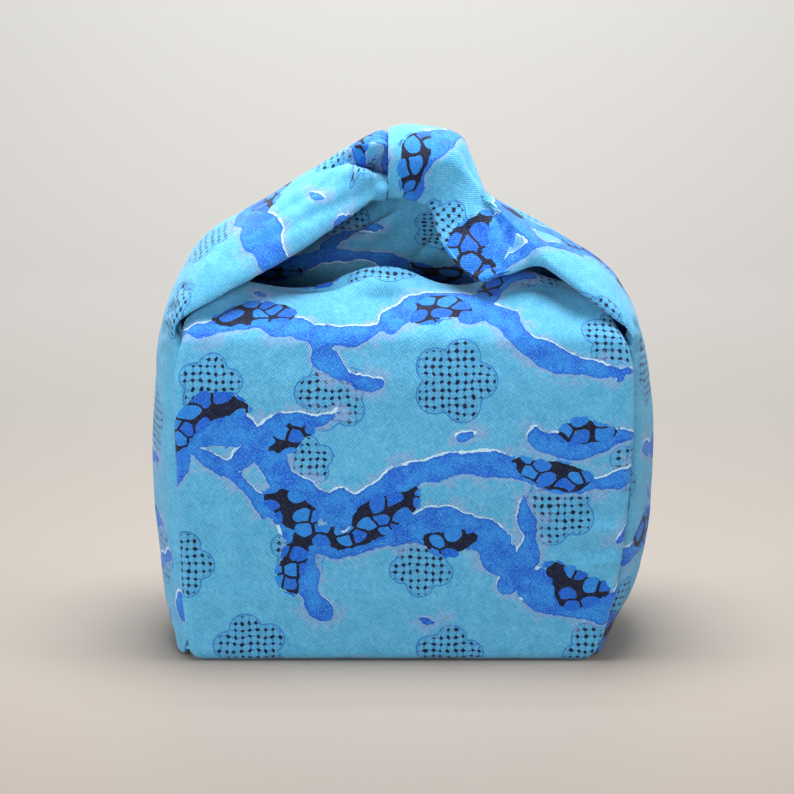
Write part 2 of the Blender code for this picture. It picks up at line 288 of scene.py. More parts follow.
BANKS = [
    # stream, where the bank starts and ends along it, side, half width
    ("long water", 0.12, 0.26, 1.2, 7.0),
    ("long water", 0.44, 0.60, -1.2, 7.5),
    ("long water", 0.76, 0.90, 1.1, 6.5),
    ("its rise", 0.3, 0.8, -1.1, 5.0),
    ("its far fall", 0.2, 0.8, 1.0, 5.5),
    ("low water", 0.14, 0.30, -1.2, 7.5),
    ("low water", 0.42, 0.54, 1.1, 6.0),
    ("low water", 0.68, 0.86, -1.1, 7.0),
    ("low water's fork", 0.2, 0.9, 1.0, 5.0),
    ("high water", 0.10, 0.26, 1.1, 6.5),
    ("high water", 0.48, 0.66, -1.2, 7.5),
    ("high water's rise", 0.3, 0.9, 1.0, 5.0),
    ("flap water", 0.18, 0.42, -1.2, 6.5),
    ("flap water", 0.64, 0.86, 1.1, 5.5),
]
SPRAY = [
    # name, x, y, heading, half width, how thin it starts, runs
    ("drop", -48, 60, 200, 1.6, 0.4, [(9, 30)]),
    ("drop", 24, 92, 20, 1.6, 0.4, [(9, -30)]),
    ("drop", 92, 116, 60, 1.5, 0.4, [(8, 40)]),
    ("drop", -104, 106, 120, 1.5, 0.4, [(9, -40)]),
    ("drop", 8, 12, -30, 1.6, 0.4, [(9, 40)]),
    ("drop", 92, 46, 30, 1.6, 0.4, [(9, 30)]),
    ("drop", -60, 160, 150, 1.5, 0.4, [(8, -40)]),
    ("drop", 78, 172, 10, 1.6, 0.4, [(9, 30)]),
]
BLOSSOMS = [
    # x, y, radius of the blossom, turn of its first petal
    (-82, 114, 13, 10), (-30, 110, 15, 30), (22, 116, 17, 0), (92, 136, 15, 20), (66, 62, 16, 40),
    (100, 78, 12, 0), (-44, 42, 12, 15), (8, 36, 13, 50), (-96, 36, 14, 0), (-66, -2, 15, 30),
    (20, -6, 14, 10), (84, -4, 14, 50), (-100, 168, 14, 20), (-10, 178, 15, 0), (56, 182, 16, 35),
    (110, 190, 12, 0), (-40, 82, 10, 20),
]
PETALS = 5
HEART, PETAL_OUT, PETAL_SIZE = 0.6, 0.62, 0.46  # shares of a blossom's radius
FARTHEST = 30.0  # distances on the print are cut off here
WIDEST = 0.4  # share of a stroke at which it is widest
STROKE_END = 0.25  # width of a stroke's end, as a share of its widest
WAVER, WAVER_LENGTH = 0.7, 13  # of a stroke's width
LIT_SHIFT = (0.4, -0.8)  # from the foam on the lit shore to the stream that it belongs to


def stroke(x, y, heading, half, start, runs):
    """Points of a brush stroke, each with the half width there."""
    angle = math.radians(heading)
    points = [(x, y)]
    for length, turn in runs:
        for _ in range(round(length)):
            angle += math.radians(turn) / round(length)
            x, y = x + math.cos(angle), y + math.sin(angle)
            points.append((x, y))
    t = np.linspace(0, 1, len(points))
    widths = half * np.where(t < WIDEST, start + (1 - start) * np.sin(t / (2 * WIDEST) * math.pi), 1)
    widths *= np.clip((1 - t) / (1 - WIDEST), 0, 1) ** 0.6 * (1 - STROKE_END) + STROKE_END
    uneven = [1 + WAVER * noise.noise(Vector((px, py, half)) / WAVER_LENGTH) for px, py in points]
    return np.column_stack([points, widths * uneven])


def bank(stream, start, end, side, half):
    """A stony bank along a part of a stream, on one side of its middle."""
    points = stroke(*next(row[1:] for row in STREAMS if row[0] == stream))
    along = np.gradient(points[:, :2], axis=0)
    shift = np.column_stack([-along[:, 1], along[:, 0]]) * points[:, 2:] * side
    part = slice(round(start * len(points)), round(end * len(points)))
    middle = (points[:, :2] + shift)[part]
    taper = np.sin(np.linspace(0, math.pi, len(middle))) ** 0.6
    return np.column_stack([middle, half * taper])


def edge_distance(x, y, strokes):
    """Distance from each place to the edge of the nearest stroke, less than nothing inside it."""
    points = np.concatenate(strokes)
    copies = [
        points + (right * REPEAT[0], up * REPEAT[1], 0) for right in (-1, 0, 1) for up in (-1, 0, 1)
    ]
    points = np.concatenate(copies)
    limit = np.abs(points[:, :2] - (0, REPEAT[1] / 2)) < (REPEAT[0] / 2 + FARTHEST, REPEAT[1] / 2 + FARTHEST)
    points = points[limit.all(axis=1)]
    tree = kdtree.KDTree(len(points))
    for k, (px, py, _) in enumerate(points):
        tree.insert((px, py, 0), k)
    tree.balance()
    half = points[:, 2]
    wrapped_x = (x.ravel() + REPEAT[0] / 2) % REPEAT[0] - REPEAT[0] / 2
    wrapped_y = y.ravel() % REPEAT[1]
    found = [tree.find((px, py, 0)) for px, py in zip(wrapped_x, wrapped_y)]
    gaps = np.array([away - half[k] for _, k, away in found])
    return np.minimum(gaps, FARTHEST).reshape(x.shape)


def blossom_distance(x, y):
    """Distance from each place to the outline of the nearest blossom, less than nothing inside it."""
    nearest = np.full(x.shape, FARTHEST)
    for middle_x, middle_y, radius, turn in BLOSSOMS:
        dx = (x - middle_x + REPEAT[0] / 2) % REPEAT[0] - REPEAT[0] / 2
        dy = (y - middle_y + REPEAT[1] / 2) % REPEAT[1] - REPEAT[1] / 2
        nearest = np.minimum(nearest, np.hypot(dx, dy) - HEART * radius)
        for petal in range(PETALS):
            angle = math.radians(turn + 360 / PETALS * petal)
            tip_x, tip_y = PETAL_OUT * radius * math.cos(angle), PETAL_OUT * radius * math.sin(angle)
            nearest = np.minimum(nearest, np.hypot(dx - tip_x, dy - tip_y) - PETAL_SIZE * radius)
    return nearest


def cloth_piece(name, grid, outward, u, v, place):
    """A sheet of cotton from the grid of its outer face, thickened inwards, with the print laid on it.

    place is where the piece was cut: the shift across and along the print, and the print's direction.
    """
    rows, columns = grid.shape[:2]
    index = np.arange(rows * columns).reshape(rows, columns)
    quads = np.stack([index[:-1, :-1], index[:-1, 1:], index[1:, 1:], index[1:, :-1]], axis=2).reshape(-1, 4)
    mesh = bpy.data.meshes.new(name)
    mesh.from_pydata((grid.reshape(-1, 3) * MM).tolist(), [], quads[:, ::outward].tolist())
    shift_x, shift_y, hand_x, hand_y = place
    x, y = shift_x + hand_x * u, shift_y + hand_y * v
    water = [stroke(*row[1:]) for row in STREAMS + SPRAY]
    fields = {
        "stream": edge_distance(x, y, water),
        "lit shore": edge_distance(x + LIT_SHIFT[0], y + LIT_SHIFT[1], water),
        "bank": edge_distance(x, y, [bank(*row) for row in BANKS]),
        "blossom": blossom_distance(x, y),
    }
    for label, values in fields.items():
        mesh.attributes.new(label, "FLOAT", "POINT").data.foreach_set("value", values.ravel())
    corners = np.empty(len(mesh.loops), int)
    mesh.loops.foreach_get("vertex_index", corners)
    flat = np.stack([x.ravel(), y.ravel()], axis=1) * MM
    mesh.uv_layers.new(name="flat cloth").data.foreach_set("uv", flat[corners].ravel())
    mesh.shade_smooth()
    cloth = bpy.data.objects.new(name, mesh)
    bpy.context.scene.collection.objects.link(cloth)
    thicken = cloth.modifiers.new("thickness", "SOLIDIFY")
    thicken.thickness = CLOTH * MM
    thicken.offset = -1
    thicken.use_even_offset = False
    mesh.materials.append(printed_cotton())
    return cloth


def add(tree, kind, inputs=(), **settings):
    """A shader node with its settings made and its inputs set or linked, by place or by name."""
    node = tree.nodes.new("ShaderNode" + kind)
    for key, value in settings.items():
        setattr(node, key, value)
    for key, value in dict(inputs).items():
        if isinstance(value, bpy.types.NodeSocket):
            tree.links.new(value, node.inputs[key])
        else:
            node.inputs[key].default_value = value
    return node


def maths(tree, operation, *values):
    """The output of a Math node that does the operation on the values."""
    return add(tree, "Math", enumerate(values), operation=operation).outputs[0]


def soft_step(tree, value, low, high, bottom=0.0, top=1.0):
    """A value that goes softly from bottom to top as the first one goes from low to high."""
    inputs = {"Value": value, "From Min": low, "From Max": high, "To Min": bottom, "To Max": top}
    return add(tree, "MapRange", inputs, interpolation_type="SMOOTHSTEP").outputs[0]


def tint(tree, mask, under, over, mode="MIX"):
    """The colour under, with the colour over laid on it where the mask is 1.

    A Mix node's inputs 6 and 7 are its two colours, and output 2 is the mixed one.
    """
    return add(tree, "Mix", {0: mask, 6: under, 7: over}, data_type="RGBA", blend_type=mode).outputs[2]


def cloud(tree, place, size, detail=2.0, roughness=0.5):
    """Soft noise from 0 to 1 with spots of about the given size."""
    inputs = {"Vector": place, "Scale": 1 / size, "Detail": detail, "Roughness": roughness}
    return add(tree, "TexNoise", inputs, noise_dimensions="3D").outputs[0]


def stretched(tree, place, turn, lengths):
    """The place turned in the plane of the cloth, and then measured in the two lengths."""
    inputs = {"Vector": place, "Rotation": (0, 0, math.radians(turn)), "Scale": (*lengths, 1)}
    return add(tree, "Mapping", inputs, vector_type="TEXTURE").outputs[0]


def dye(red, green, blue):
    """A dye's colour from its red, green and blue parts out of 255."""
    parts = [c / 255 for c in (red, green, blue)]
    return (*[c / 12.92 if c < 0.04 else ((c + 0.055) / 1.055) ** 2.4 for c in parts], 1)


def group(name, inputs, outputs):
    """An empty node group with its sockets, and its two end nodes."""
    tree = bpy.data.node_groups.new(name, "ShaderNodeTree")
    for label, kind in inputs:
        tree.interface.new_socket(label, in_out="INPUT", socket_type="NodeSocket" + kind)
    for label, kind in outputs:
        tree.interface.new_socket(label, in_out="OUTPUT", socket_type="NodeSocket" + kind)
    return tree, tree.nodes.new("NodeGroupInput").outputs, tree.nodes.new("NodeGroupOutput").inputs


def woven_group():
    """Cotton threads on the bias, with slubs: the height of the weave, and a second output for the painted
    shade and highlight of its twill, mixed with the slubs' uneven colour.
    """
    tree, given, out = group(
        "woven threads", [("Cloth", "Vector"), ("Pitch", "Float"), ("Slubs", "Float")],
        [("Height", "Float"), ("Shade and slubs", "Float")],
    )
    threads = []
    for turn in (WARP_TURN, WARP_TURN + 90):
        slubs = cloud(tree, stretched(tree, given["Cloth"], turn, (SLUB_LENGTH, SLUB_SIZE)), 1.0, 2.0)
        parts = add(tree, "SeparateXYZ", {0: stretched(tree, given["Cloth"], turn, (1, 1))}).outputs
        phase = maths(tree, "DIVIDE", parts[1], given["Pitch"])
        phase = maths(tree, "MULTIPLY_ADD", slubs, THREAD_BEND, phase)
        wave = maths(tree, "SINE", maths(tree, "MULTIPLY", phase, 2 * math.pi))
        uneven = maths(tree, "MULTIPLY", maths(tree, "SUBTRACT", slubs, 0.5), given["Slubs"])
        threads.append((wave, uneven))
    (warp, warp_slubs), (weft, weft_slubs) = threads
    twill = maths(tree, "MULTIPLY_ADD", weft, WEFT_SHARE, warp)
    slubs = maths(tree, "ADD", warp_slubs, weft_slubs)
    tree.links.new(maths(tree, "MULTIPLY_ADD", twill, TWILL_HEIGHT, slubs), out["Height"])
    # painted shade and highlight that follow the twill's relief, with the slubs' uneven colour added
    tree.links.new(maths(tree, "MULTIPLY_ADD", twill, TWILL_SHADE_WEIGHT, slubs), out["Shade and slubs"])
    return tree


def net_group():
    """A hand-drawn square net with a dot at each crossing, uneven in size and place."""
    tree, given, out = group(
        "dotted net", [("Cloth", "Vector"), ("Pitch", "Float"), ("Dot", "Float"), ("Wobble", "Float")],
        [("Dots", "Float"), ("Lines", "Float")],
    )
    wander = add(tree, "TexNoise", {"Vector": given["Cloth"], "Scale": NET_WANDER, "Detail": 1.0}).outputs[1]
    offset = add(tree, "VectorMath", {0: wander, 1: (0.5, 0.5, 0.5)}, operation="SUBTRACT").outputs[0]
    offset = add(tree, "VectorMath", {0: offset, 3: given["Wobble"]}, operation="SCALE").outputs[0]
    place = add(tree, "VectorMath", {0: given["Cloth"], 1: offset}, operation="ADD").outputs[0]
    parts = add(tree, "SeparateXYZ", {0: place}).outputs
    near = [maths(tree, "PINGPONG", parts[k], maths(tree, "MULTIPLY", given["Pitch"], 0.5)) for k in (0, 1)]
    squares = [maths(tree, "POWER", value, 2) for value in near]
    away = maths(tree, "SQRT", maths(tree, "ADD", *squares))
    ragged = maths(tree, "MULTIPLY_ADD", cloud(tree, given["Cloth"], 0.8, 1.0), 0.4, away)
    size = maths(tree, "MULTIPLY_ADD", cloud(tree, given["Cloth"], 4.0, 1.0), 0.5, given["Dot"])
    gap = maths(tree, "SUBTRACT", ragged, size)
    tree.links.new(soft_step(tree, gap, -0.12, 0.12, 1, 0), out["Dots"])
    beside = [maths(tree, "SUBTRACT", value, LINE_OFFSET) for value in near]
    line = maths(tree, "ABSOLUTE", maths(tree, "MINIMUM", *beside))
    tree.links.new(soft_step(tree, line, 0.05, 0.22, 1, 0), out["Lines"])
    return tree


def printed_cotton():
    """Turquoise cotton with its print, made once: a dyed ground, blossoms, streams and stony banks, under
    painted shade and highlight that follow the weave.
    """
    if "printed cotton" in bpy.data.materials:
        return bpy.data.materials["printed cotton"]
    material = bpy.data.materials.new("printed cotton")
    material.use_nodes = True
    tree = material.node_tree
    shader = tree.nodes["Principled BSDF"]
    flat = add(tree, "UVMap", uv_map="flat cloth").outputs[0]
    cloth = add(tree, "VectorMath", {0: flat, 3: 1 / MM}, operation="SCALE").outputs[0]
    stream, shore, bank, blossom = [
        add(tree, "Attribute", attribute_name=label).outputs["Fac"]
        for label in ("stream", "lit shore", "bank", "blossom")
    ]
    given = {"Cloth": cloth, "Pitch": THREAD_PITCH, "Slubs": SLUB_STRENGTH}
    woven = add(tree, "Group", given, node_tree=woven_group())
    given = {"Cloth": cloth, "Pitch": NET_PITCH, "Dot": NET_DOT, "Wobble": NET_WOBBLE}
    net = add(tree, "Group", given, node_tree=net_group())

    # The unevenness of the dye, and the ragged edges of all that is printed.
    fine = cloud(tree, cloth, 0.8, 2.0, 0.6)
    patchy = cloud(tree, cloth, 9.0, 4.0, 0.6)
    torn = maths(tree, "SUBTRACT", cloud(tree, cloth, 3.5, 4.0, 0.6), 0.5)
    torn = maths(tree, "MULTIPLY", torn, EDGE_WANDER)
    swell = maths(tree, "SUBTRACT", cloud(tree, cloth, 15.0, 1.0), 0.5)
    ragged = maths(tree, "MULTIPLY_ADD", swell, EDGE_SWELL, torn)
    stream, shore, bank = [maths(tree, "ADD", distance, ragged) for distance in (stream, shore, bank)]

    # The dyed ground, and the blossoms with their net, outline and dots.
    colour = tint(tree, soft_step(tree, patchy, 0.3, 0.7), GROUND, GROUND_PALE)
    inside = soft_step(tree, blossom, -0.1, 0.1, 1, 0)
    colour = tint(tree, maths(tree, "MULTIPLY", inside, 0.35), colour, PETAL)
    worn = soft_step(tree, patchy, 0.35, 0.6, 0.25, 0.9)
    lines = maths(tree, "MULTIPLY", net.outputs["Lines"], maths(tree, "MULTIPLY", inside, worn))
    colour = tint(tree, lines, colour, NET_LINE)
    rim = maths(tree, "ABSOLUTE", maths(tree, "MULTIPLY_ADD", torn, 0.2, blossom))
    colour = tint(tree, soft_step(tree, rim, 0.1, 0.42, 0.85, 0), colour, NET_LINE)
    within = soft_step(tree, blossom, -1.1, -0.7, 1, 0)
    colour = tint(tree, maths(tree, "MULTIPLY", within, net.outputs["Dots"]), colour, NAVY)

    # The streams, with silt and a speckled halo along them and foam on their lit shore.
    speckled = soft_step(tree, fine, 0.35, 0.6, 0.15, 0.9)
    shallows = soft_step(tree, stream, 2.5, 7.0, 1, 0)
    silt = maths(tree, "MULTIPLY", shallows, soft_step(tree, patchy, 0.48, 0.56))
    colour = tint(tree, maths(tree, "MULTIPLY", silt, speckled), colour, HALO)
    halo = soft_step(tree, stream, 0.6, 2.6, 1, 0)
    colour = tint(tree, maths(tree, "MULTIPLY", halo, speckled), colour, HALO)
    lit = soft_step(tree, shore, -0.1, 0.2, 1, 0)
    lit = maths(tree, "MULTIPLY", lit, soft_step(tree, patchy, 0.38, 0.46))
    colour = tint(tree, lit, colour, FOAM_AND_THREAD_HIGHLIGHT)
    water = tint(tree, soft_step(tree, patchy, 0.38, 0.62), STREAM, STREAM_LIGHT)
    water = tint(tree, soft_step(tree, fine, 0.42, 0.72, 0, 0.7), water, STREAM_SPECK)
    water = tint(tree, soft_step(tree, stream, -1.6, 0.0, 0, 0.5), water, STREAM_DEEP)
    colour = tint(tree, soft_step(tree, stream, -0.15, 0.15, 1, 0), colour, water)

    # The stony banks: rounded stones with dark mortar between them.
    bent = maths(tree, "MULTIPLY", swell, STONE_BEND)
    stones = stretched(tree, cloth, STONE_TURN, STONE)
    stones = add(tree, "VectorMath", {0: stones, 1: bent}, operation="ADD").outputs[0]
    cells = {"Vector": stones, "Scale": 1.0, "Randomness": 0.75}
    nearest = add(tree, "TexVoronoi", cells, voronoi_dimensions="2D").outputs
    edges = add(tree, "TexVoronoi", cells, voronoi_dimensions="2D", feature="DISTANCE_TO_EDGE").outputs
    stone = soft_step(tree, edges["Distance"], 0.06, 0.09)
    stone = maths(tree, "MULTIPLY", stone, soft_step(tree, nearest["Distance"], 0.46, 0.50, 1, 0))
    kind = add(tree, "SeparateColor", {0: nearest["Color"]}).outputs[0]
    pebble = tint(tree, soft_step(tree, kind, 0.2, 0.8), STREAM, STREAM_LIGHT)
    pebble = tint(tree, soft_step(tree, fine, 0.45, 0.75, 0, 0.5), pebble, STREAM_SPECK)
    beside = soft_step(tree, bank, 1.0, 1.3, 1, 0)
    colour = tint(tree, maths(tree, "MULTIPLY", beside, stone), colour, pebble)
    mortar = soft_step(tree, bank, -0.15, 0.15, 1, 0)
    mortar = maths(tree, "MULTIPLY", mortar, maths(tree, "SUBTRACT", 1.0, stone))
    colour = tint(tree, mortar, colour, NAVY)

    # The painted shade and painted highlight of the threads over it all, with the slubs' uneven colour,
    # their relief, and the crumple of washed cotton.
    shade_and_slubs = woven.outputs["Shade and slubs"]
    # painted shade in the grooves of the weave, darkest where the twill is low
    colour = tint(tree, soft_step(tree, shade_and_slubs, -0.5, 0.5, 0.62, 0), colour, THREAD_PAINTED_SHADE, "MULTIPLY")
    # painted highlight on the tops of the threads, where the twill is high
    colour = tint(tree, soft_step(tree, shade_and_slubs, 0.0, 0.8, 0, 0.05), colour, FOAM_AND_THREAD_HIGHLIGHT)
    tree.links.new(colour, shader.inputs["Base Color"])
    tree.links.new(soft_step(tree, shade_and_slubs, -0.4, 0.6, 0.93, 0.78), shader.inputs["Roughness"])
    relief = {"Height": woven.outputs["Height"], "Strength": 0.5, "Distance": WEAVE_RELIEF}
    weave = add(tree, "Bump", relief).outputs[0]
    creases = cloud(tree, stretched(tree, cloth, CRUMPLE_TURN, CRUMPLE), 1.0, 3.0, 0.55)
    relief = {"Height": creases, "Strength": 0.5, "Distance": CRUMPLE_RELIEF, "Normal": weave}
    tree.links.new(add(tree, "Bump", relief).outputs[0], shader.inputs["Normal"])
    shader.inputs["Sheen Weight"].default_value = 0.15
    shader.inputs["Sheen Roughness"].default_value = 0.5
    shader.inputs["Specular IOR Level"].default_value = 0.25
    return material


# Lengths on the cloth are in millimetres here, but for the two reliefs.
WARP_TURN = -54.0  # degrees from the direction across the cloth
THREAD_PITCH = 0.98
THREAD_BEND = 0.6  # share of the pitch that a slub pushes the threads aside
WEFT_SHARE = 0.35  # of the weft in the twill, beside the warp
TWILL_HEIGHT, TWILL_SHADE_WEIGHT = 0.35, 0.34  # of the twill beside the slubs: its relief, and the strength of its painted shade and highlight
SLUB_SIZE, SLUB_LENGTH, SLUB_STRENGTH = 0.7, 3.0, 1.2
NET_PITCH = 3.3
NET_DOT = 0.78  # radius of the smallest dots
NET_WANDER, NET_WOBBLE = 0.16, 3.0  # bends of the net to the millimetre, and how far they go
LINE_OFFSET = 0.22  # of the net's lines from the middle of its dots
EDGE_WANDER, EDGE_SWELL = 2.4, 8.0
STONE, STONE_TURN, STONE_BEND = (9.0, 7.0), 12, 1.2
CRUMPLE, CRUMPLE_TURN = (26.0, 16.0), 20
WEAVE_RELIEF, CRUMPLE_RELIEF = 0.00022, 0.0016  # in metres
GROUND = dye(84, 172, 212)
GROUND_PALE = dye(98, 184, 221)
PETAL = dye(78, 160, 208)
NET_LINE = dye(36, 112, 190)
NAVY = dye(8, 16, 48)
HALO = dye(138, 166, 208)
# the print's pale foam, also used as the painted highlight on the threads' tops
FOAM_AND_THREAD_HIGHLIGHT = dye(196, 230, 242)
STREAM = dye(10, 92, 208)
STREAM_LIGHT = dye(36, 132, 222)
STREAM_SPECK = dye(80, 168, 228)
STREAM_DEEP = dye(14, 70, 186)
# the painted shade of the weave's grooves
THREAD_PAINTED_SHADE = dye(146, 172, 196)

STRIP_PLACE = (0, 199, 1, -1)  # on the print
STRIP_RUMPLES = [(34, 0.6), (11, 0.2)]  # length and height
strip = rumpled(folded(strip_grid(), -1, STRIP_FOLDS), -1, STRIP_RUMPLES)
strip_u, strip_v = flat_places(strip, strip.shape[1] // 2)
body_strip = cloth_piece("body_cotton", strip, -1, strip_u, strip_v, STRIP_PLACE)
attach(body_strip, "root")
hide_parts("body_strip")


# The two side pieces: each is a gusset that is sewn into the strip's edges up to the shoulder, and goes
# on upwards as a strap. The left strap narrows and is pushed through the loop that the right one makes
# at its end, and the right one turns its front edge out on the way, as a lapel.
GUSSET = [
    # name, height, left ridge x, right ridge x
    ("hem", 1.0, -102.5, 88.5),
    ("toe", 5.5, -103.5, 92.5),
    ("foot", 13, -106.5, 97.5),
    ("knee", 34, -109.3, 108),
    ("belly", 85, -111, 111.2),
    ("chest", 113, -110.4, 110.2),
    ("shoulder", 132, -109.5, 107.8),
]
# Each strap from the shoulder to the knot. The ridge is its top line, at y = 0. The crease is its lower
# front line, the fold is where the cloth below the crease turns inwards, and the tail is the turned-in
# edge past it. The back edge mirrors the front one, and back says what share of the cloth below the
# crease hangs there too.
LEFT_STRAP = [
    # name, ridge x, z, crease x, y, z, fold x, y, z, tail y, z, back
    ("over the shoulder", -102, 158, -96.3, -50.8, 145.5, -94.8, -44.5, 149, 5, 4, 1),
    ("bend", -88, 180, -78, -49.5, 157.5, -75, -42, 161, 7, 3, 1),
    ("slope", -58, 199, -50, -42, 173, -48, -34, 175, 7, 3, 1),
    ("rise", -33, 214.2, -29, -32, 186.5, -28, -24, 188, 7, 3, 1),
    ("gather", -17, 223.5, -15, -22, 195.5, -15, -15, 197.5, 7, 3, 1),
    ("lip", -9.6, 226.6, -9, -15.5, 198.5, -9, -9, 200.5, 7, 1, 1),
    ("inside the loop", -5, 225.2, -4.5, -13.5, 200, -4.5, -7, 202, 6, 1, 1),
    ("end", 19, 221, 19, -12, 205, 19, -6, 207, 5, 1, 1),
]
RIGHT_STRAP = [
    ("over the shoulder", 101.5, 152, 97.2, -50.8, 141.5, 95.3, -44.5, 145, 5, 4, 1),
    ("bend", 89.5, 168, 79, -49.5, 157, 75.5, -42, 161, 7, 3, 1),
    ("slope", 73.5, 178.8, 62, -43.5, 171.5, 59, -38, 169, 6, 4, 1),
    ("lapel", 57, 188, 52.5, -37, 181, 44, -43, 164, 4, 6, 0.35),
    ("lapel tip", 44, 194.5, 43.5, -29.5, 191, 29.5, -42, 162, 4, 6, 0.25),
    ("twist", 36.5, 200.5, 35.5, -25, 199, 16.5, -31, 176, 5, 4, 0.4),
    ("loop edge", 31.6, 213, 28.5, -22.5, 206, 12, -19.5, 191, 7, 1, 0.8),
    ("loop", 26, 224.5, 20, -21.5, 212, 6, -18.5, 195, 7, 0, 1),
    ("loop top", 12, 228.4, 8, -21, 213.5, 1, -18.5, 196.5, 7, 0, 1),
    ("loop mouth", -6.3, 229.3, -6.3, -20.5, 214, -6.3, -18.5, 197, 7, 0, 1),
]
LOWEST_SEAM, HIGHEST_SEAM = 9.0, 126.0  # heights between which the gussets are sewn to the strip
FRONT_WALL = -45  # the strip's seams in front of this y are the front ones
HEM_EDGE = {-1: (-95.4, -48.5), 1: (85.4, -49)}  # x and y of a gusset's front edge at the hem
HEM_TURN = (0.4, 0.8)  # how far the end of the allowance lies inwards and back from that edge
HIDDEN_TURN = 0.6  # how far the end of a gusset's allowance turns inwards
SIDE_STEP = 1.35  # size of a facet along a side piece
FINE_ROWS = 2000  # rows of a side piece before they are spaced evenly
ARCH_STEPS, SKIRT_STEPS, TAIL_STEPS = 42, 9, 4
CREASE_ROUNDS = 6  # how often the creases are rounded


def side_marks(side, strap, grid):
    """Ridge, crease, fold and tail, and the back's share, of each row of a side piece from its hem up."""
    seam, end = (ALLOWANCE_STEPS, 0) if side < 0 else (-1 - ALLOWANCE_STEPS, -1)
    sewn = [row for row in grid if LOWEST_SEAM < row[len(row) // 2][2] < HIGHEST_SEAM]
    front = [row for row in sewn if row[seam][1] < FRONT_WALL]
    seams = np.array([[*row[seam], *row[end]] for row in front])[::-1]
    seams += (0, SEAM_GAP, 0, 0, SEAM_GAP, 0)
    heights = seams[:, 2]
    marks = []
    for _, height, left_x, right_x in GUSSET:
        edge = np.array([np.interp(height, heights, seams[:, k]) for k in range(6)])
        if height < heights[0]:
            x, y = HEM_EDGE[side]
            share = ((height - GUSSET[0][1]) / (heights[0] - GUSSET[0][1])) ** 2
            low = np.array([x, y, height, x - side * HEM_TURN[0], y + HEM_TURN[1], height])
            edge = low + (edge - low) * share
        edge[2] = edge[5] = height
        ridge = (left_x if side < 0 else right_x, 0, height)
        marks.append([*ridge, *edge, *(edge[3:] + (-side * HIDDEN_TURN, HIDDEN_TURN, 0)), 1.0])
    for _, rx, rz, cx, cy, cz, fx, fy, fz, ty, tz, back in strap:
        marks.append([rx, 0, rz, cx, cy, cz, fx, fy, fz, fx, fy + ty, fz + tz, back])
    marks = np.array(marks)
    places = np.linspace(0, len(marks) - 1, FINE_ROWS)
    rows = flow(np.arange(len(marks)), marks, places)
    rises = np.linalg.norm(np.diff(rows[:, :6], axis=0), axis=1) / math.sqrt(2)
    lengths = np.concatenate([[0], np.cumsum(rises)])
    even = np.linspace(0, lengths[-1], math.ceil(lengths[-1] / SIDE_STEP) + 1)
    rows = np.stack([np.interp(even, lengths, rows[:, k]) for k in range(rows.shape[1])], axis=1)
    for row in rows:
        if heights[0] <= row[2] <= heights[-1]:
            edge = np.array([np.interp(row[2], heights, seams[:, k]) for k in range(6)])
            row[3:9] = edge
            row[9:12] = edge[3:] + (-side * HIDDEN_TURN, HIDDEN_TURN, 0)
    return rows


def relaxed(grid, rounds):
    """The grid with each row's creases rounded, as cloth bends, and its two outer columns left in place."""
    for _ in range(rounds):
        grid[:, 1:-1] += 0.25 * (grid[:, :-2] - 2 * grid[:, 1:-1] + grid[:, 2:])
    return grid


def side_grid(side, strap, grid):
    """The outer face of a side piece as rows up it and columns from its back edge to its front one."""
    rows = []
    for mark in side_marks(side, strap, grid):
        ridge, crease, fold, tail = mark[0:3], mark[3:6], mark[6:9], mark[9:12]
        centre = np.array([crease[0], 0, crease[2]])
        angles = np.linspace(0, math.pi / 2, ARCH_STEPS + 1)[:, None]
        arch = centre + (ridge - centre) * np.cos(angles) + (crease - centre) * np.sin(angles)
        shares = np.linspace(0, 1, SKIRT_STEPS + 1)[1:, None]
        tails = np.linspace(0, 1, TAIL_STEPS + 1)[1:, None]
        halves = []
        for hang in (1, mark[12]):
            low = crease + (fold - crease) * hang
            skirt = crease + (low - crease) * shares
            halves.append(np.concatenate([arch, skirt, low + (tail - fold) * tails]))
        rows.append(np.concatenate([(halves[1] * (1, -1, 1))[::-1], halves[0][1:]]))
    return relaxed(np.array(rows), CREASE_ROUNDS)


LEFT_FOLDS = [
    # name, x, y, z at its start, x, y, z at its end, height, half width
    ("pit at the loop", 6, -11, 210, -24, -12, 212.5, -12, 3.0),
    ("end of the pit", -12, -12, 211, -38, -14, 214, -4, 2.2),
    ("roll above the pit", 4, -11, 216, -32, -11, 219, 3.0, 2.6),
    ("bulge before the loop", -9.5, -15, 214, -10.5, -7, 226, 4.0, 2.8),
    ("bulge below the pit", -8.0, -17, 206, -8.5, -18, 196, 4.4, 2.4),
    ("gather over the roll", -4, -7, 221, -36, -9, 216, -1.4, 1.7),
    ("ridge below the pit", -4, -13, 205, -36, -21, 207, 1.3, 3.0),
    ("rolled lower edge", -10, -18, 198, -74, -47, 163, 1.0, 2.8),
    ("furrow above the edge", -12, -17, 203, -76, -45, 170, -1.3, 3.0),
    ("long crease of the strap", -31, -24, 206, -62, -32, 188, -1.4, 2.8),
    ("pucker at the shoulder", -104, -34, 150, -94, -47, 152, -1.5, 2.2),
    ("second pucker", -106, -32, 142, -96, -49, 143, -1.3, 2.2),
    ("third pucker", -100, -36, 162, -89, -47, 160, -1.3, 2.2),
    ("fourth pucker", -108, -34, 132, -97, -50, 134, -1.1, 2.4),
    ("upright fold of the gusset", -112, -14, 120, -110, -18, 40, 1.4, 8),
    ("furrow behind it", -112, 12, 110, -110, 8, 50, -1.4, 9),
]
